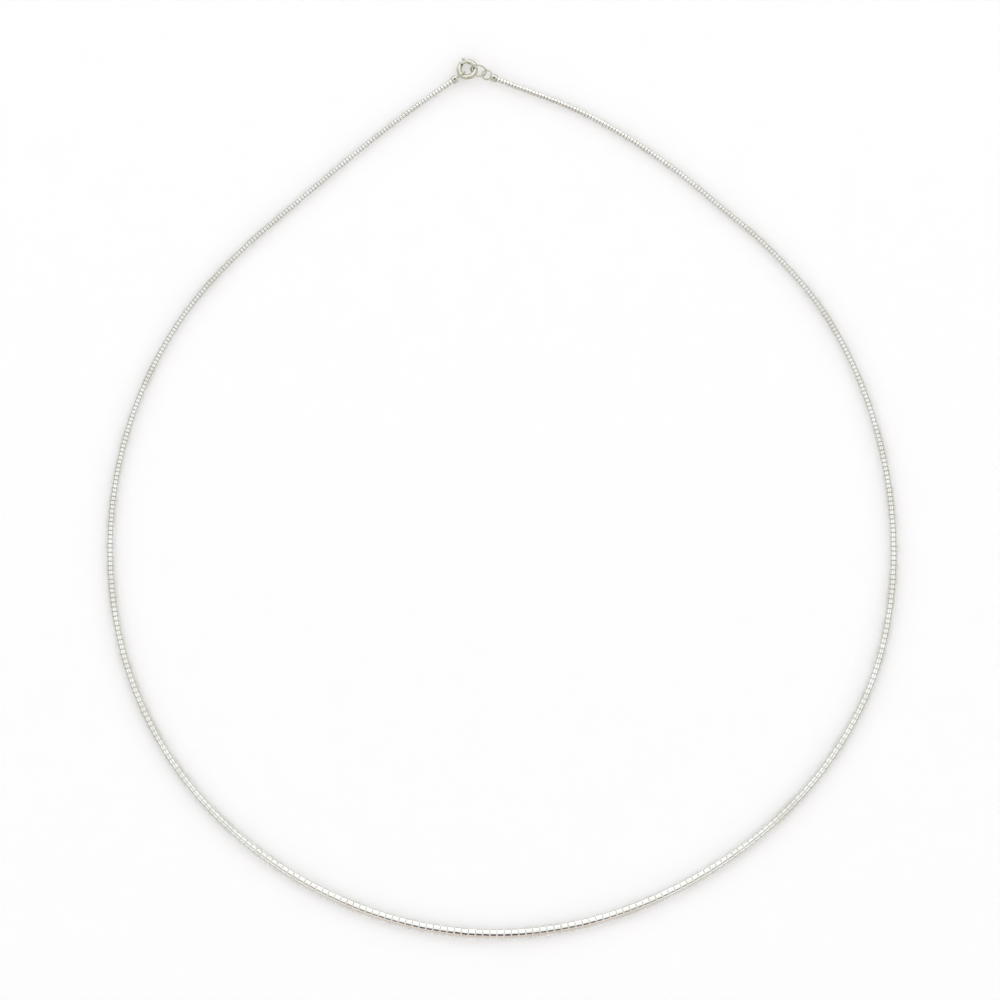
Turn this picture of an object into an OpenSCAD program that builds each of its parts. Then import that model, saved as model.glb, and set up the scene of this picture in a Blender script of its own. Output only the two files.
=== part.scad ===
// Omega necklace: a slim graduated collar that lies flat, closed at the back by a bolt ring.
// Millimetres, +Z up. The collar rests on z = 0, its front towards -Y and its clasp towards +Y.
// The origin is the middle of the outline's box, on the surface that the necklace rests on.

/* [Collar] */
// Radius of the round part of the collar, to the middle of the chain
collar_r = 71.3; // [60:0.1:90]
// Width of the chain at the middle of its front
front_w = 2.1; // [1.6:0.05:3]
// Thickness of the chain at the middle of its front
front_h = 1.3; // [1:0.05:1.8]
// Width of the chain where it enters an end cap
end_w = 1.2; // [1:0.05:1.6]
// Thickness of the chain where it enters an end cap
end_h = 1; // [0.8:0.05:1.2]

/* [End caps] */
// Length of an end cap
cap_len = 1; // [0.7:0.05:2]
// Wall of an end cap round the chain
cap_wall = 0.1; // [0.08:0.01:0.2]
// Thickness of the cap's closed face, which carries the loop
cap_floor = 0.2; // [0.12:0.02:0.4]
// Diameter of the solder hole in the top of a cap
solder_hole_d = 0.4; // [0.3:0.02:0.5]
// Wire of the loop soldered to a cap
loop_wire = 0.34; // [0.24:0.02:0.44]

/* [Bolt ring] */
// Outer diameter of the bolt ring
ring_od = 4; // [3.7:0.1:5]
// Diameter of the tube that it is bent from
ring_tube = 1; // [0.9:0.05:1.15]
// Wall of that tube
tube_wall = 0.12; // [0.08:0.01:0.16]
// Angle of the mouth's edge that the bolt slides back into
mouth_from_angle = 86; // [76:1:92]
// Angle of the mouth's edge that the bolt's tip locks into
mouth_to_angle = 136; // [128:1:140]
// How far the bolt slides back when the clasp is opened, in degrees round the ring
travel_angle = 55; // [45:1:60]
// Diameter of the thumb pin on the bolt
pin_d = 0.34; // [0.25:0.01:0.4]
// Diameter of the thumb pin's head
pin_head_d = 0.6; // [0.45:0.05:0.8]
// Thickness of that head
pin_head_t = 0.26; // [0.16:0.02:0.4]

/* [Jump ring] */
// Outer diameter of the jump ring
jump_od = 3.1; // [2.9:0.05:3.8]
// Wire of the jump ring
jump_wire = 0.3; // [0.2:0.05:0.4]

/* [Clearances] */
// Spare room where a ring runs in the inside of another ring
link_play = 0.16; // [0.12:0.02:0.3]
// Room round the bolt in its tube, and round its pin in the slot
slide_play = 0.08; // [0.05:0.01:0.1]
// Room between the chain's end and the inside of its cap
cap_play = 0.05; // [0.03:0.01:0.08]

/* [Hidden] */
$fn = 72;

// Points that the chain runs through, clockwise seen from above, from its right end to its left.
// Each is a bearing from the back of the neck, and a distance from the middle as a share of
// collar_r. The ends themselves follow from the clasp.
ROUTE = [
    [12, 1.108], [26, 1.044], [33, 1.022], [40, 1.015], [54, 1.01], [82, 0.998],
    [96, 1.003], [110, 1.009], [124, 1.004], [138, 0.995], [152, 0.991], [166, 0.994],
    [180, 0.999], [194, 1.001], [208, 1.002], [222, 1.005], [236, 1.008], [250, 1.006],
    [264, 1], [278, 0.996], [292, 0.995], [306, 0.996], [320, 0.998], [327, 1.007],
    [348, 1.124]
];
// Where the right cap's face stands at the back of the neck, as a bearing and a share of collar_r
BACK = [-1.2, 1.187];
// Direction in which the chain leaves the right cap, and arrives at the left one
RIGHT_ANGLE = -22.7;
LEFT_ANGLE = 35;
// Steps that each stretch between two points of the route is swept in
STEPS = 3;
// Sides of the chain's cross-section
SIDES = 12;
// Power that bends the chain's underside, below 1 for flatter
FLAT_POWER = 0.7;
// Length over which each end of the chain rises from the surface to its cap
RISE_SPAN = 24;

// Depth that soldered wires sink into what they are soldered to
SOLDER = 0.06;
// Height of a loop's wire above the middle of its cap
LOOP_RISE = 0.25;
// Roll of the loops about the chain: the left one stands on edge, the right one lies flat
LEFT_ROLL_ANGLE = 90;
RIGHT_ROLL_ANGLE = 0;
// Where round the bolt ring the left loop and the jump ring go about its tube
LOOP_ANGLE = 223;
JUMP_ANGLE = 350;
// Dip of the bolt ring, whose mouth lies on the surface while the loop and the jump ring hold up
// its other side
DIP_ANGLE = 16;
// Heading of the jump ring's level diameter, and its lean from flat
HEADING_ANGLE = -15;
LEAN_ANGLE = 50;
// Where round the jump ring the bolt ring and the right loop lie
JUMP_RING_ANGLE = -160;
JUMP_LOOP_ANGLE = -25;
// Direction from the jump ring to the middle of the right loop
RIGHT_LOOP_ANGLE = -20;
// Where the thumb pin stands on the closed bolt, and how far the bolt reaches past it and its mouth
PIN_ANGLE = 111;
TAIL_ANGLE = 51;
BITE_ANGLE = 6;
// Height of the thumb pin's head above the tube
HEAD_LIFT = 0.06;
// How far the slot's cut runs out past the tube's end
PAST_ANGLE = 1;

// Radii to the middle of each ring's wire; a loop just fits round the bolt ring's tube
loop_r = (ring_tube + loop_wire) / 2 + link_play;
ring_r = (ring_od - ring_tube) / 2;
jump_r = (jump_od - jump_wire) / 2;
bore_r = ring_tube / 2 - tube_wall;
bolt_r = bore_r - slide_play;
head_out = ring_od / 2 + HEAD_LIFT + pin_head_t;
loop_reach = loop_r + loop_wire / 2 - SOLDER;

function level(a) = [cos(a), sin(a), 0];
function bearing(p) = collar_r * p[1] * [sin(p[0]), cos(p[0]), 0];
function flat(p) = [p.x, p.y, 0];

// Direction in the bolt ring's plane, which dips away from what holds it up
dip_to_angle = (LOOP_ANGLE + JUMP_ANGLE) / 2 - 180;
function ring_dir(a) =
    cos(a - dip_to_angle) * (cos(DIP_ANGLE) * level(dip_to_angle) - [0, 0, sin(DIP_ANGLE)])
    + sin(a - dip_to_angle) * level(dip_to_angle + 90);
// A point of the jump ring's plane, from its middle
jump_level = level(HEADING_ANGLE);
jump_up = cos(LEAN_ANGLE) * level(HEADING_ANGLE + 90) + [0, 0, sin(LEAN_ANGLE)];
function jump_dir(a) = cos(a) * jump_level + sin(a) * jump_up;

// The clasp is laid out from the right cap: right loop, jump ring, bolt ring, left loop, left cap.
// Its heights come from the bolt ring, which rests on its tube or on its thumb pin.
ring_z = max(ring_tube / 2 + ring_r * sin(DIP_ANGLE),
    head_out * sin(DIP_ANGLE) * cos(PIN_ANGLE - dip_to_angle) + pin_head_d / 2 * cos(DIP_ANGLE));
jump_from_ring = ring_r * ring_dir(JUMP_ANGLE)
    - (jump_r - ring_tube / 2 - jump_wire / 2 - link_play) * jump_dir(JUMP_RING_ANGLE);
loop_from_jump = (jump_r - loop_wire / 2 - jump_wire / 2 - link_play) * jump_dir(JUMP_LOOP_ANGLE)
    + loop_r * level(RIGHT_LOOP_ANGLE);
right_cap = bearing(BACK) + [0, 0, ring_z + jump_from_ring.z + loop_from_jump.z - LOOP_RISE];
right_loop = right_cap - loop_reach * level(RIGHT_ANGLE) + [0, 0, LOOP_RISE];
jump_mid = right_loop - loop_from_jump;
ring_mid = jump_mid - jump_from_ring;
left_loop = ring_mid + ring_r * ring_dir(LOOP_ANGLE);
left_cap = left_loop - loop_reach * level(LEFT_ANGLE) - [0, 0, LOOP_RISE];

// The chain's ends stand inside the caps
end_depth = cap_floor + cap_play;
right_tip = right_cap + end_depth * level(RIGHT_ANGLE);
left_tip = left_cap - end_depth * level(LEFT_ANGLE);

// The route is one smooth curve through the points, from tip to tip
points = concat([flat(right_tip)], [for (p = ROUTE) bearing(p)], [flat(left_tip)]);
last = len(points) - 1;
function slope(i) = i == 0 ? level(RIGHT_ANGLE) : i == last ? level(LEFT_ANGLE) :
    let (a = points[i] - points[i - 1], b = points[i + 1] - points[i])
    (a / norm(a) * norm(b) + b / norm(b) * norm(a)) / (norm(a) + norm(b));
function along(i, t) =
    let (a = points[i], b = points[i + 1], d = norm(b - a))
    (2 * t ^ 3 - 3 * t ^ 2 + 1) * a + (t ^ 3 - 2 * t ^ 2 + t) * d * slope(i)
    + (3 * t ^ 2 - 2 * t ^ 3) * b + (t ^ 3 - t ^ 2) * d * slope(i + 1);
stations = concat([for (i = [0 : last - 1], k = [0 : STEPS - 1]) along(i, k / STEPS)], [points[last]]);
count = len(stations);
function run(i) = i == 0 ? 0 : norm(stations[i] - stations[i - 1]);
function runs(i = 0, sum = 0) = i == count ? [] : let (s = sum + run(i)) concat([s], runs(i + 1, s));
reached = runs();
total = reached[count - 1];

// The chain is widest at its front and tapers to both ends as half a cosine wave
function grade(s) = (1 - cos(360 * s / total)) / 2;
function width_at(s) = end_w + (front_w - end_w) * grade(s);
function height_at(s) = end_h + (front_h - end_h) * grade(s);
function ease(t) = t >= 1 ? 0 : 1 - (3 - 2 * t) * t ^ 2;
function middle_at(s) = height_at(s) / 2
    + (right_cap.z - end_h / 2) * ease(s / RISE_SPAN)
    + (left_cap.z - end_h / 2) * ease((total - s) / RISE_SPAN);
function heading(i) =
    let (d = i == 0 ? level(RIGHT_ANGLE) : i == count - 1 ? level(LEFT_ANGLE) :
        stations[i + 1] - stations[i - 1])
    d / norm(d);
// One corner of the cross-section: domed on top, flatter below
function corner(i, j) =
    let (a = 360 * j / SIDES, s = reached[i], h = heading(i), side = [h.y, -h.x, 0],
        up = sin(a) >= 0 ? sin(a) : -(-sin(a)) ^ FLAT_POWER)
    stations[i] + side * cos(a) * width_at(s) / 2
    + [0, 0, middle_at(s) + up * height_at(s) / 2];

// The middle of the outline's box becomes the origin; the thumb pin's head stands out furthest back
pin_dir = ring_dir(PIN_ANGLE);
low_x = min([for (i = [0 : count - 1]) stations[i].x - width_at(reached[i]) / 2]);
high_x = max([for (i = [0 : count - 1]) stations[i].x + width_at(reached[i]) / 2]);
low_y = min([for (i = [0 : count - 1]) stations[i].y - width_at(reached[i]) / 2]);
high_y = ring_mid.y + head_out * pin_dir.y + pin_head_d / 2 * sqrt(1 - pin_dir.y ^ 2);
to_origin = -[(low_x + high_x) / 2, (low_y + high_y) / 2, 0];

module wire_ring(r, wire) {
    rotate_extrude() translate([r, 0]) circle(d = wire);
}

// Outline of a cap, round at its sides
module pill(w, h) {
    for (side = [-1, 1]) translate([side * (w - h) / 2, 0]) circle(d = h);
    square([w - h, h], center = true);
}

// The plates and their woven core as the one bar that they make together
module omega_chain() {
    color("gainsboro")
    translate(to_origin)
    polyhedron(
        points = [for (i = [0 : count - 1], j = [0 : SIDES - 1]) corner(i, j)],
        faces = concat(
            [[for (j = [0 : SIDES - 1]) j]],
            [for (i = [0 : count - 2], j = [0 : SIDES - 1], half = [0, 1])
                let (k = (j + 1) % SIDES, a = i * SIDES, b = a + SIDES)
                half == 0 ? [a + j, b + j, b + k] : [a + j, b + k, a + k]],
            [[for (j = [SIDES - 1 : -1 : 0]) (count - 1) * SIDES + j]]
        )
    );
}

// Cap and soldered loop, from the middle of the cap's face, with the loop towards +X
module end_piece(roll) {
    inner_w = end_w + 2 * cap_play;
    inner_h = end_h + 2 * cap_play;
    translate([-cap_len, 0, 0]) rotate([90, 0, 90]) difference() {
        linear_extrude(cap_len) pill(inner_w + 2 * cap_wall, inner_h + 2 * cap_wall);
        translate([0, 0, -cap_len]) linear_extrude(2 * cap_len - cap_floor) pill(inner_w, inner_h);
        translate([0, 0, cap_len / 2]) rotate([-90, 0, 0]) cylinder(d = solder_hole_d, h = end_h);
    }
    translate([loop_reach, 0, LOOP_RISE]) rotate([roll, 0, 0]) wire_ring(loop_r, loop_wire);
}

module left_end() {
    color("silver")
    translate(to_origin + left_cap) rotate([0, 0, LEFT_ANGLE]) end_piece(LEFT_ROLL_ANGLE);
}

module right_end() {
    color("silver")
    translate(to_origin + right_cap) rotate([0, 0, RIGHT_ANGLE + 180]) end_piece(RIGHT_ROLL_ANGLE);
}

module in_ring_plane() {
    translate(to_origin + ring_mid) rotate([0, 0, dip_to_angle]) rotate([0, DIP_ANGLE, 0])
        rotate([0, 0, -dip_to_angle]) children();
}

// The hollow tube with its mouth, and its slot for the thumb pin
module bolt_ring() {
    slot_w = pin_d + 2 * slide_play;
    slot_from = PIN_ANGLE - travel_angle - asin(slot_w / ring_od);
    color("lightgray")
    in_ring_plane() difference() {
        rotate([0, 0, mouth_to_angle]) rotate_extrude(angle = 360 - mouth_to_angle + mouth_from_angle)
            translate([ring_r, 0]) difference() {
                circle(d = ring_tube);
                circle(r = bore_r);
            }
        rotate([0, 0, slot_from]) rotate_extrude(angle = mouth_from_angle - slot_from + PAST_ANGLE)
            translate([ring_r, -slot_w / 2]) square([ring_tube, slot_w]);
    }
}

// The curved bolt that closes the mouth, with its thumb pin
module bolt() {
    tip = mouth_to_angle + BITE_ANGLE;
    tail = PIN_ANGLE - TAIL_ANGLE;
    color("whitesmoke")
    in_ring_plane() {
        rotate([0, 0, tail]) rotate_extrude(angle = tip - tail) translate([ring_r, 0]) circle(r = bolt_r);
        rotate([0, 0, PIN_ANGLE]) rotate([0, 90, 0]) {
            translate([0, 0, ring_r]) cylinder(d = pin_d, h = head_out - ring_r);
            translate([0, 0, head_out - pin_head_t]) cylinder(d = pin_head_d, h = pin_head_t);
        }
    }
}

module jump_ring() {
    color("silver")
    translate(to_origin + jump_mid) rotate([0, 0, HEADING_ANGLE]) rotate([LEAN_ANGLE, 0, 0])
        wire_ring(jump_r, jump_wire);
}

omega_chain();
left_end();
right_end();
bolt_ring();
bolt();
jump_ring();
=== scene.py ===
import math
import random

import bpy
from mathutils import Matrix, Vector


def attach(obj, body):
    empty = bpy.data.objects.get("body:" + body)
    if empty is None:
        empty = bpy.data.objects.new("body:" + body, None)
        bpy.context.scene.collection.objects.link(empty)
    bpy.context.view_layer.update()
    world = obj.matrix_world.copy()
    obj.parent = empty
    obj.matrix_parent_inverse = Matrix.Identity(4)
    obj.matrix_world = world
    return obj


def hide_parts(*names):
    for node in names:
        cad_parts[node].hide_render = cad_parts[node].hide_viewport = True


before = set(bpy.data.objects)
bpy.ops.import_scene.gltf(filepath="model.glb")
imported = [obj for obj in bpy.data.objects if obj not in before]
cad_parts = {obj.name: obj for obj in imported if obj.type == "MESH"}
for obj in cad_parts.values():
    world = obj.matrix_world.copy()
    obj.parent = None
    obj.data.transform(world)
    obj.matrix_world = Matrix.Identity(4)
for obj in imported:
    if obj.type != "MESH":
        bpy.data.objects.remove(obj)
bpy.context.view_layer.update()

# Tabletop: a sheet of white matt acrylic that the necklace lies on, cast, with a faint grain, and
# lit a little from below as a light table is. It isn't part of the object.


def linear(hex_colour):
    """An sRGB hex colour as the linear colour that a socket takes."""
    parts = [int(hex_colour[i:i + 2], 16) / 255 for i in (1, 3, 5)]
    return [c / 12.92 if c <= 0.04045 else ((c + 0.055) / 1.055) ** 2.4 for c in parts] + [1.0]


def add_node(tree, kind, settings=None, inputs=None):
    """Adds a node with its settings; an input is a value, or the output that it is linked to."""
    node = tree.nodes.new(kind)
    for name, value in (settings or {}).items():
        setattr(node, name, value)
    for key, value in (inputs or {}).items():
        if isinstance(value, bpy.types.NodeSocket):
            tree.links.new(value, node.inputs[key])
        else:
            node.inputs[key].default_value = value
    return node


def new_material(name):
    """A material with an empty tree, and its Object coordinates."""
    material = bpy.data.materials.new(name)
    material.use_nodes = True
    material.node_tree.nodes.clear()
    where = add_node(material.node_tree, "ShaderNodeTexCoord").outputs["Object"]
    return material, material.node_tree, where


TABLE_SIZE, TABLE_CUTS = 4, 7
bpy.ops.object.select_all(action="DESELECT")
bpy.ops.mesh.primitive_plane_add(size=TABLE_SIZE)
tabletop = bpy.context.object
tabletop.name = "tabletop"
bpy.ops.object.mode_set(mode="EDIT")
bpy.ops.mesh.subdivide(number_cuts=TABLE_CUTS)
bpy.ops.object.mode_set(mode="OBJECT")

# White cast acrylic, matt: no gloss, with a grain of about half a millimetre that barely shows.
# It is cloudy right through, so light spreads some millimetres inside it and shade falls soft.
ACRYLIC_GLOW = 0.19
ACRYLIC_SPREAD = 0.007
acrylic, tree, where = new_material("matt_white_acrylic")
grain = add_node(tree, "ShaderNodeTexNoise", inputs={"Vector": where, "Scale": 2000, "Detail": 2})
bump = add_node(tree, "ShaderNodeBump", inputs={"Strength": 0.05, "Distance": 0.00001,
                                                "Height": grain.outputs["Fac"]})
shader = add_node(tree, "ShaderNodeBsdfPrincipled", {"subsurface_method": "BURLEY"}, {
    "Base Color": linear("#f5f5f6"), "Roughness": 0.9, "Specular IOR Level": 0.0,
    "Subsurface Weight": 1.0, "Subsurface Radius": (1, 1, 1),
    "Subsurface Scale": ACRYLIC_SPREAD, "Emission Color": linear("#ffffff"),
    "Emission Strength": ACRYLIC_GLOW, "Normal": bump.outputs["Normal"]})
add_node(tree, "ShaderNodeOutputMaterial", inputs={"Surface": shader.outputs["BSDF"]})
tabletop.data.materials.append(acrylic)

# Studio: a white tent with a brighter panel overhead, a dark seam round the panel, dimmer low
# walls, a rosy front, and the dark slit with a rosy rim that the camera looks through; and a
# broad soft light from behind the necklace. Heights and widths are those of a ray one unit long.
TENT_CLOTH = "#fbfbfb"
TENT_FRONT = "#f1e4de"
TENT_WALL = "#d2d1ce"
PANEL_SEAM = "#7e7e7d"
SLIT_RIM = "#efd9d2"
CAMERA_SLIT = "#1b1410"
TENT_GLOW, PANEL_GLOW = 0.93, 1.11
PANEL_FROM, PANEL_TO = 0.8, 0.88
SEAM_HEIGHT, SEAM_FROM, SEAM_TO = 0.745, 0.08, 0.03
SEAM_FRONT, SEAM_FRONT_FROM, SEAM_FRONT_TO = 0.45, -0.4, -0.66
WALL_FROM, WALL_TO = 0.36, 0.14
FRONT_FROM, FRONT_TO = -0.35, -0.65
FRONT_SIDE_FROM, FRONT_SIDE_TO = 0.55, 0.2
SLIT_LEAN = math.radians(13)
SLIT_HALF_SIZE = (0.1, 0.225, 1)
SLIT_FROM, SLIT_TO = 1.15, 0.85
RIM_FROM, RIM_TO = 2.2, 1.2
RIM_FRONT_FROM, RIM_FRONT_TO = -0.06, -0.22

tent = bpy.data.worlds.new("studio_tent")
bpy.context.scene.world = tent
tent.use_nodes = True
tree = tent.node_tree
tree.nodes.clear()
ray = add_node(tree, "ShaderNodeTexCoord").outputs["Generated"]
ways = add_node(tree, "ShaderNodeSeparateXYZ", inputs={0: ray})
sideways = add_node(tree, "ShaderNodeMath", {"operation": "ABSOLUTE"}, {0: ways.outputs["X"]})
from_seam = add_node(tree, "ShaderNodeMath", {"operation": "SUBTRACT"}, {
    0: ways.outputs["Z"], 1: SEAM_HEIGHT})
off_seam = add_node(tree, "ShaderNodeMath", {"operation": "ABSOLUTE"}, {0: from_seam.outputs[0]})
from_slit = add_node(tree, "ShaderNodeVectorMath", {"operation": "SUBTRACT"}, {
    0: ray, 1: (0, -math.sin(SLIT_LEAN), math.cos(SLIT_LEAN))})
slit_share = add_node(tree, "ShaderNodeVectorMath", {"operation": "DIVIDE"}, {
    0: from_slit.outputs[0], 1: SLIT_HALF_SIZE})
off_slit = add_node(tree, "ShaderNodeVectorMath", {"operation": "LENGTH"}, {
    0: slit_share.outputs[0]})


def fade(value, from_min, from_max, to_min=0.0, to_max=1.0):
    """A smooth step of a value of the studio's light."""
    return add_node(tree, "ShaderNodeMapRange", {"interpolation_type": "SMOOTHSTEP"}, {
        "Value": value, "From Min": from_min, "From Max": from_max,
        "To Min": to_min, "To Max": to_max}).outputs[0]


front = add_node(tree, "ShaderNodeMath", {"operation": "MULTIPLY"}, {
    0: fade(ways.outputs["Y"], FRONT_FROM, FRONT_TO),
    1: fade(sideways.outputs[0], FRONT_SIDE_FROM, FRONT_SIDE_TO)})
seam = add_node(tree, "ShaderNodeMath", {"operation": "MULTIPLY"}, {
    0: fade(off_seam.outputs[0], SEAM_FROM, SEAM_TO),
    1: fade(ways.outputs["Y"], SEAM_FRONT_FROM, SEAM_FRONT_TO, 1.0, SEAM_FRONT)})
rim = add_node(tree, "ShaderNodeMath", {"operation": "MULTIPLY"}, {
    0: fade(off_slit.outputs["Value"], RIM_FROM, RIM_TO),
    1: fade(ways.outputs["Y"], RIM_FRONT_FROM, RIM_FRONT_TO)})
light = linear(TENT_CLOTH)
for share, colour in ((front.outputs[0], TENT_FRONT),
                      (fade(ways.outputs["Z"], WALL_FROM, WALL_TO), TENT_WALL),
                      (seam.outputs[0], PANEL_SEAM),
                      (rim.outputs[0], SLIT_RIM),
                      (fade(off_slit.outputs["Value"], SLIT_FROM, SLIT_TO), CAMERA_SLIT)):
    light = add_node(tree, "ShaderNodeMix", {"data_type": "RGBA"}, {
        0: share, 6: light, 7: linear(colour)}).outputs[2]
glow = add_node(tree, "ShaderNodeBackground", inputs={
    "Color": light,
    "Strength": fade(ways.outputs["Z"], PANEL_FROM, PANEL_TO, TENT_GLOW, PANEL_GLOW)})
add_node(tree, "ShaderNodeOutputWorld", inputs={"Surface": glow.outputs["Background"]})

LIGHT_BEHIND, LIGHT_ABOVE = 1.1, 1.1
LIGHT_TILT = math.radians(-45)
LIGHT_WIDTH, LIGHT_DEPTH = 1.4, 0.9
LIGHT_WATTS = 3.9
bpy.ops.object.light_add(type="AREA", location=(0.0, LIGHT_BEHIND, LIGHT_ABOVE),
                         rotation=(LIGHT_TILT, 0, 0))
soft_light = bpy.context.object
soft_light.name = "soft_light"
soft_light.data.shape = "RECTANGLE"
soft_light.data.size = LIGHT_WIDTH
soft_light.data.size_y = LIGHT_DEPTH
soft_light.data.energy = LIGHT_WATTS

# Camera: straight down, as photographed; 182 mm across at the height of the chain's middle.
CAMERA_X, CAMERA_Y, CAMERA_HEIGHT = -0.00036, -0.00024, 0.8
CHAIN_LEVEL = 0.0006
VIEW_WIDTH = 0.18182
SENSOR_WIDTH = 36
bpy.ops.object.camera_add(location=(CAMERA_X, CAMERA_Y, CAMERA_HEIGHT + CHAIN_LEVEL),
                          rotation=(0, 0, 0))
camera = bpy.context.object
camera.data.sensor_width = SENSOR_WIDTH
camera.data.lens = camera.data.sensor_width * CAMERA_HEIGHT / VIEW_WIDTH
bpy.context.scene.camera = camera
bpy.context.scene.view_settings.view_transform = "Standard"

# Omega chain: some 550 silver plates, each pressed into a domed clip from rolled strip and
# crimped round a woven core, side by side; they taper in width from the front to both ends. The
# chain's route and sizes are those of the CAD part.
COLLAR_R = 0.0713
ROUTE = [
    (12, 1.108), (26, 1.044), (33, 1.022), (40, 1.015), (54, 1.01), (82, 0.998),
    (96, 1.003), (110, 1.009), (124, 1.004), (138, 0.995), (152, 0.991), (166, 0.994),
    (180, 0.999), (194, 1.001), (208, 1.002), (222, 1.005), (236, 1.008), (250, 1.006),
    (264, 1), (278, 0.996), (292, 0.995), (306, 0.996), (320, 0.998), (327, 1.007),
    (348, 1.124),
]
COLLAR_MIDDLE = Vector((-0.00010596, -0.0079534, 0))
RIGHT_TIP = Vector((-0.00164775, 0.0765647, 0.000717106))
LEFT_TIP = Vector((-0.00838435, 0.0763381, 0.000860369))
RIGHT_ANGLE, LEFT_ANGLE = math.radians(-22.7), math.radians(35)
FRONT_W, FRONT_H, END_W, END_H = 0.0021, 0.0013, 0.0012, 0.001
RISE_SPAN = 0.024
ROUTE_STEPS = 24


def on_route(bearing, share):
    """The point of the route at a compass bearing, at a share of the collar's radius."""
    angle = math.radians(bearing)
    return COLLAR_MIDDLE + COLLAR_R * share * Vector((math.sin(angle), math.cos(angle), 0))


knots = [on_route(*row) for row in ROUTE]
knots = [Vector((*RIGHT_TIP.xy, 0)), *knots, Vector((*LEFT_TIP.xy, 0))]
slopes = [Vector((math.cos(RIGHT_ANGLE), math.sin(RIGHT_ANGLE), 0))]
for before, at, after in zip(knots, knots[1:], knots[2:]):
    back, ahead = at - before, after - at
    slopes.append((back.normalized() * ahead.length + ahead.normalized() * back.length)
                  / (back.length + ahead.length))
slopes.append(Vector((math.cos(LEFT_ANGLE), math.sin(LEFT_ANGLE), 0)))
line = []
for a, b, slope_a, slope_b in zip(knots, knots[1:], slopes, slopes[1:]):
    d = (b - a).length
    for step in range(ROUTE_STEPS):
        t = step / ROUTE_STEPS
        line.append((2 * t ** 3 - 3 * t ** 2 + 1) * a + (t ** 3 - 2 * t ** 2 + t) * d * slope_a
                    + (3 * t ** 2 - 2 * t ** 3) * b + (t ** 3 - t ** 2) * d * slope_b)
line.append(knots[-1])
reached = [0.0]
for a, b in zip(line, line[1:]):
    reached.append(reached[-1] + (b - a).length)
CHAIN_LENGTH = reached[-1]


def grade(s):
    """1 at the chain's middle and 0 at its ends."""
    return (1 - math.cos(2 * math.pi * s / CHAIN_LENGTH)) / 2


def chain_width(s):
    return END_W + (FRONT_W - END_W) * grade(s)


def chain_height(s):
    return END_H + (FRONT_H - END_H) * grade(s)


def ease(t):
    """1 at t = 0, falling smoothly to 0 at t = 1."""
    return 0.0 if t >= 1 else 1 - (3 - 2 * t) * t ** 2


def chain_middle(s):
    """The middle of the chain's section, at the distance s from its right end."""
    s = min(max(s, 0.0), CHAIN_LENGTH)
    low, high = 0, len(reached) - 1
    while high - low > 1:
        half = (low + high) // 2
        low, high = (half, high) if reached[half] <= s else (low, half)
    t = (s - reached[low]) / (reached[high] - reached[low])
    rise = ((RIGHT_TIP.z - END_H / 2) * ease(s / RISE_SPAN)
            + (LEFT_TIP.z - END_H / 2) * ease((CHAIN_LENGTH - s) / RISE_SPAN))
    return line[low].lerp(line[high], t) + Vector((0, 0, chain_height(s) / 2 + rise))


# One plate, one unit long, wide and high: an open clip with its length along X.
PLATE_SIDES = 12
PLATE_WALL = 0.14
LOW_ROWS = ((-0.25, 0.0578), (-0.433, 0.0191))
OPEN_BELOW = -0.46
WALL_MIDDLE = 0.45
END_SLOPE = 0.045
SMOOTH_UP_TO = math.radians(50)
NEAR = 0.01
bpy.ops.object.select_all(action="DESELECT")
bpy.ops.mesh.primitive_cylinder_add(vertices=PLATE_SIDES, radius=0.5, depth=1,
                                    end_fill_type="NOTHING", rotation=(0, math.pi / 2, 0))
plate = bpy.context.object
plate.name = "plate"
bpy.ops.object.transform_apply(location=True, rotation=True, scale=True)


def select_in(piece, kind, chosen):
    """Selects, for edit mode, the vertices, edges or faces whose place passes the test."""
    mesh = piece.data
    for items in (mesh.vertices, mesh.edges, mesh.polygons):
        for item in items:
            item.select = False
    if kind == "FACE":
        for face in mesh.polygons:
            face.select = chosen(face.center)
    elif kind == "EDGE":
        for edge in mesh.edges:
            edge.select = all(chosen(mesh.vertices[v].co) for v in edge.vertices)
    else:
        for vertex in mesh.vertices:
            vertex.select = chosen(vertex.co)
    bpy.ops.object.mode_set(mode="EDIT")
    bpy.ops.mesh.select_mode(type=kind)


# Its underside is pressed flatter, by moving its low rows down, and is open in the middle
for row, drop in LOW_ROWS:
    select_in(plate, "VERT", lambda co: abs(co.z - row) < NEAR)
    bpy.ops.transform.translate(value=(0, 0, -drop))
    bpy.ops.object.mode_set(mode="OBJECT")
select_in(plate, "FACE", lambda co: co.z < OPEN_BELOW)
bpy.ops.mesh.delete(type="FACE")
bpy.ops.object.mode_set(mode="OBJECT")
wall = plate.modifiers.new("wall", "SOLIDIFY")
wall.thickness = PLATE_WALL
wall.offset = -1
wall.use_even_offset = True
bpy.ops.object.modifier_apply(modifier="wall")

# The outer edges are turned down while the plate has half its length, so that the slopes come
# out twice as long as they are deep
plate.scale = (0.5, 1, 1)
bpy.ops.object.transform_apply(location=True, rotation=True, scale=True)
for end in (-0.25, 0.25):
    select_in(plate, "EDGE", lambda co: abs(co.x - end) < NEAR and co.yz.length > WALL_MIDDLE)
    bpy.ops.mesh.bevel(offset=END_SLOPE, offset_type="OFFSET", segments=1, affect="EDGES")
    bpy.ops.object.mode_set(mode="OBJECT")
plate.scale = (2, 1, 1)
bpy.ops.object.transform_apply(location=True, rotation=True, scale=True)
select_in(plate, "FACE", lambda co: True)
bpy.ops.mesh.normals_make_consistent(inside=False)
bpy.ops.object.mode_set(mode="OBJECT")

# Sharp edges where the slopes start keep the plate's middle straight along its length
for slope_start in (-0.5 + 2 * END_SLOPE, 0.5 - 2 * END_SLOPE):
    select_in(plate, "EDGE", lambda co: abs(co.x - slope_start) < NEAR)
    bpy.ops.mesh.mark_sharp()
    bpy.ops.object.mode_set(mode="OBJECT")

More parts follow.
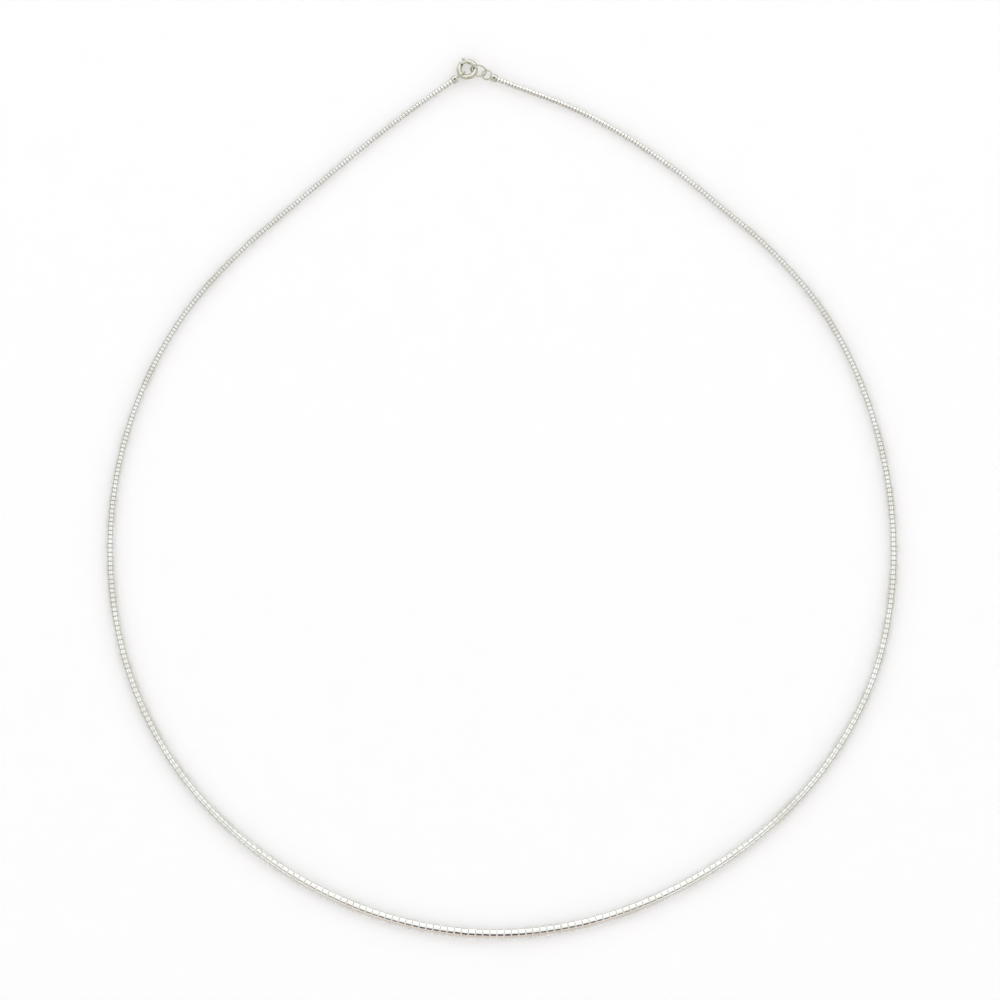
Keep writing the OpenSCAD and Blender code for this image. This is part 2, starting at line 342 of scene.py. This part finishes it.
# Silver plates, rolled, pressed and polished: bright, with hairline scratches a hundredth of a
# millimetre wide, finer polishing marks, and a dull warm film where a cloth doesn't reach.
plate_silver, tree, where = new_material("polished_silver_plates")
tone = add_node(tree, "ShaderNodeAttribute", {"attribute_name": "plate_tone"}).outputs["Fac"]
film = add_node(tree, "ShaderNodeTexNoise", inputs={"Vector": where, "Scale": 160, "Detail": 3})
film_on = add_node(tree, "ShaderNodeMapRange", inputs={
    "Value": film.outputs["Fac"], "From Min": 0.45, "From Max": 0.75})
film_and_tone = add_node(tree, "ShaderNodeMath", {
    "operation": "MULTIPLY_ADD", "use_clamp": True}, {0: tone, 1: 0.5, 2: film_on.outputs[0]})
silver = add_node(tree, "ShaderNodeMix", {"data_type": "RGBA"}, {
    0: film_and_tone.outputs[0], 6: linear("#f7f8f5"), 7: linear("#edede6")})
marks = add_node(tree, "ShaderNodeTexNoise", inputs={"Vector": where, "Scale": 9000, "Detail": 3})
marks_rough = add_node(tree, "ShaderNodeMapRange", inputs={
    "Value": marks.outputs["Fac"], "To Min": 0.08, "To Max": 0.18})
rough = add_node(tree, "ShaderNodeMath", {"operation": "MULTIPLY_ADD"}, {
    0: film_on.outputs[0], 1: 0.07, 2: marks_rough.outputs[0]})
swirl = add_node(tree, "ShaderNodeTexNoise", inputs={
    "Vector": where, "Scale": 2200, "Detail": 4, "Distortion": 2.5})
off_line = add_node(tree, "ShaderNodeMath", {"operation": "SUBTRACT"}, {
    0: swirl.outputs["Fac"], 1: 0.5})
from_line = add_node(tree, "ShaderNodeMath", {"operation": "ABSOLUTE"}, {0: off_line.outputs[0]})
hairlines = add_node(tree, "ShaderNodeMapRange", inputs={
    "Value": from_line.outputs[0], "From Min": 0.0, "From Max": 0.012})
bump = add_node(tree, "ShaderNodeBump", inputs={"Strength": 0.3, "Distance": 0.000004,
                                                "Height": marks.outputs["Fac"]})
scratched = add_node(tree, "ShaderNodeBump", inputs={
    "Strength": 0.35, "Distance": 0.0000015, "Height": hairlines.outputs[0],
    "Normal": bump.outputs["Normal"]})
shader = add_node(tree, "ShaderNodeBsdfPrincipled", inputs={
    "Base Color": silver.outputs[2], "Metallic": 1.0, "Roughness": rough.outputs[0],
    "Normal": scratched.outputs["Normal"]})
add_node(tree, "ShaderNodeOutputMaterial", inputs={"Surface": shader.outputs["BSDF"]})

# Oxidised silver on the cut ends of the plates and inside them: brown-black and dull.
gap_silver, tree, where = new_material("oxidised_silver_edges")
crust = add_node(tree, "ShaderNodeTexNoise", inputs={"Vector": where, "Scale": 4000, "Detail": 2})
crust_colour = add_node(tree, "ShaderNodeMix", {"data_type": "RGBA"}, {
    0: crust.outputs["Fac"], 6: linear("#3e3732"), 7: linear("#6e645c")})
shader = add_node(tree, "ShaderNodeBsdfPrincipled", inputs={
    "Base Color": crust_colour.outputs[2], "Metallic": 0.8, "Roughness": 0.5})
add_node(tree, "ShaderNodeOutputMaterial", inputs={"Surface": shader.outputs["BSDF"]})

# Faces that look along the chain or in to the core are oxidised, and the rest is polished
plate.data.materials.append(plate_silver)
plate.data.materials.append(gap_silver)
for face in plate.data.polygons:
    spoke = Vector((0, face.center.y, face.center.z))
    inner = face.normal.dot(spoke) < 0.05 and abs(face.normal.x) < 0.5
    face.material_index = 1 if inner or abs(face.normal.x) > 0.9 else 0
bpy.ops.object.select_all(action="DESELECT")
plate.select_set(True)
bpy.ops.object.shade_smooth_by_angle(angle=SMOOTH_UP_TO)

# The plates are set side by side from the middle of the front to both caps. They are long at the
# front and short at the ends, with gaps of a twentieth to a tenth of a millimetre between them,
# and each is rolled by about a degree at most.
PITCH_END, PITCH_MORE, PITCH_FADE = 0.00061, 0.0007, 0.45
FRONT_GAP, END_GAP = 0.00005, 0.0001
HEIGHT_PLAY = 0.00002
CAP_MOUTH = 0.00076
PLATE_ROLL = 1.2
PLATE_SEED = 11
half_length = CHAIN_LENGTH / 2
draw = random.Random(PLATE_SEED)
starts = [0.0]
while starts[-1] < half_length - CAP_MOUTH:
    share = starts[-1] / half_length
    starts.append(starts[-1] + PITCH_END + PITCH_MORE * math.exp(-(share / PITCH_FADE) ** 2))
stretch = (half_length - CAP_MOUTH) / starts[-1]
spans = []
for way in (-1, 1):
    for near, far in zip(starts, starts[1:]):
        spans.append((half_length + way * near * stretch, half_length + way * far * stretch))
plates = []
for from_s, to_s in spans:
    a, b = chain_middle(min(from_s, to_s)), chain_middle(max(from_s, to_s))
    s = (from_s + to_s) / 2
    ahead = (b - a).normalized()
    side = Vector((0, 0, 1)).cross(ahead).normalized()
    up = ahead.cross(side)
    turn = Matrix((ahead, side, up)).transposed().to_4x4()
    roll = Matrix.Rotation(math.radians(draw.uniform(-PLATE_ROLL, PLATE_ROLL)), 4, "X")
    gap = END_GAP + (FRONT_GAP - END_GAP) * grade(s)
    size = Matrix.Diagonal(
        ((b - a).length - gap, chain_width(s), chain_height(s) - HEIGHT_PLAY, 1))
    copy = plate.copy()
    copy.data = plate.data.copy()
    copy.data.transform(Matrix.Translation((a + b) / 2) @ turn @ roll @ size)
    tones = copy.data.attributes.new("plate_tone", "FLOAT", "POINT")
    tones.data.foreach_set("value", [draw.random()] * len(copy.data.vertices))
    bpy.context.collection.objects.link(copy)
    plates.append(copy)
bpy.data.objects.remove(plate)
bpy.ops.object.select_all(action="DESELECT")
for copy in plates:
    copy.select_set(True)
bpy.context.view_layer.objects.active = plates[0]
bpy.ops.object.join()
omega_plates = bpy.context.object
omega_plates.name = "omega_plates"
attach(omega_plates, "necklace")
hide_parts("omega_chain")

# Woven core: a flat tube knitted from fine silver wire that the plates are crimped to. It shows
# dark in the gaps and as a strip along the underside.
CORE_SHARE = 0.67
CORE_RINGS = 320
bpy.ops.object.select_all(action="DESELECT")
bpy.ops.curve.primitive_nurbs_path_add()
core = bpy.context.object
core.name = "woven_core"
core.data.splines.clear()
spline = core.data.splines.new("POLY")
spline.points.add(CORE_RINGS)
for i, point in enumerate(spline.points):
    s = CHAIN_LENGTH * i / CORE_RINGS
    point.co = (*chain_middle(s), 1)
    point.radius = chain_width(s) / FRONT_W
core.data.dimensions = "3D"
core.data.twist_mode = "Z_UP"
bpy.ops.curve.primitive_bezier_circle_add(radius=1)
core_section = bpy.context.object
core_section.scale = (FRONT_W / 2 * CORE_SHARE, FRONT_H / 2 * CORE_SHARE, 1)
bpy.ops.object.transform_apply(location=True, rotation=True, scale=True)
core_section.data.resolution_u = 3
core.data.bevel_mode = "OBJECT"
core.data.bevel_object = core_section
core.data.use_fill_caps = True
bpy.ops.object.select_all(action="DESELECT")
core.select_set(True)
bpy.context.view_layer.objects.active = core
bpy.ops.object.convert(target="MESH")
bpy.data.objects.remove(core_section)
bpy.ops.object.transform_apply(location=True, rotation=True, scale=True)
core_wire, tree, where = new_material("knitted_silver_wire")
weave = add_node(tree, "ShaderNodeTexVoronoi", inputs={"Vector": where, "Scale": 7000})
weave_colour = add_node(tree, "ShaderNodeMix", {"data_type": "RGBA"}, {
    0: weave.outputs["Distance"], 6: linear("#e6e3dd"), 7: linear("#6b6259")})
bump = add_node(tree, "ShaderNodeBump", {"invert": True}, {
    "Strength": 0.6, "Distance": 0.00004, "Height": weave.outputs["Distance"]})
shader = add_node(tree, "ShaderNodeBsdfPrincipled", inputs={
    "Base Color": weave_colour.outputs[2], "Metallic": 0.6, "Roughness": 0.5,
    "Normal": bump.outputs["Normal"]})
add_node(tree, "ShaderNodeOutputMaterial", inputs={"Surface": shader.outputs["BSDF"]})
core.data.materials.append(core_wire)
bpy.ops.object.shade_smooth()
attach(core, "necklace")
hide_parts("omega_chain")

# Clasp: end caps, loops, bolt ring, bolt and jump ring, drawn and formed silver, polished. Black
# is painted into the corners of the bolt ring's mouth, where the bolt goes into the tube: painted
# shade, standing in for the shadow in the gap there.
RING_MIDDLE = Vector((-0.00630517, 0.0780188, 0.000925886))
MOUTH_SHADE_SPOTS = ((138, 0.0013), (88, 0.00115))
CORNER_RISE, CORNER_REACH, CORNER_BLACK = 0.00012, 0.0003, 0.00012
for name in ("left_end", "right_end", "jump_ring", "bolt", "bolt_ring"):
    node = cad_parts[name]
    clasp_silver, tree, where = new_material("polished_silver_" + name)
    film = add_node(tree, "ShaderNodeTexNoise", inputs={
        "Vector": where, "Scale": 900, "Detail": 3})
    silver = add_node(tree, "ShaderNodeMix", {"data_type": "RGBA"}, {
        0: film.outputs["Fac"], 6: linear("#e9e9e1"), 7: linear("#b5b49f")}).outputs[2]
    # Painted shade: a black spot at each corner of the bolt ring's mouth, in place of the shadow
    # in the gap
    for bearing, reach in MOUTH_SHADE_SPOTS if name == "bolt_ring" else ():
        angle = math.radians(bearing)
        corner = RING_MIDDLE + Vector(
            (reach * math.cos(angle), reach * math.sin(angle), CORNER_RISE))
        to_corner = add_node(tree, "ShaderNodeVectorMath", {"operation": "DISTANCE"}, {
            0: where, 1: node.matrix_world.inverted() @ corner})
        mouth_shade = add_node(tree, "ShaderNodeMapRange", {"interpolation_type": "SMOOTHSTEP"}, {
            "Value": to_corner.outputs["Value"], "From Min": CORNER_REACH,
            "From Max": CORNER_BLACK})
        silver = add_node(tree, "ShaderNodeMix", {"data_type": "RGBA"}, {
            0: mouth_shade.outputs[0], 6: silver, 7: linear("#1a1715")}).outputs[2]
    marks = add_node(tree, "ShaderNodeTexNoise", inputs={
        "Vector": where, "Scale": 12000, "Detail": 3})
    rough = add_node(tree, "ShaderNodeMapRange", inputs={
        "Value": marks.outputs["Fac"], "To Min": 0.12, "To Max": 0.24})
    bump = add_node(tree, "ShaderNodeBump", inputs={"Strength": 0.3, "Distance": 0.000004,
                                                    "Height": marks.outputs["Fac"]})
    shader = add_node(tree, "ShaderNodeBsdfPrincipled", inputs={
        "Base Color": silver, "Metallic": 1.0, "Roughness": rough.outputs[0],
        "Normal": bump.outputs["Normal"]})
    add_node(tree, "ShaderNodeOutputMaterial", inputs={"Surface": shader.outputs["BSDF"]})
    node.data.materials.clear()
    node.data.materials.append(clasp_silver)
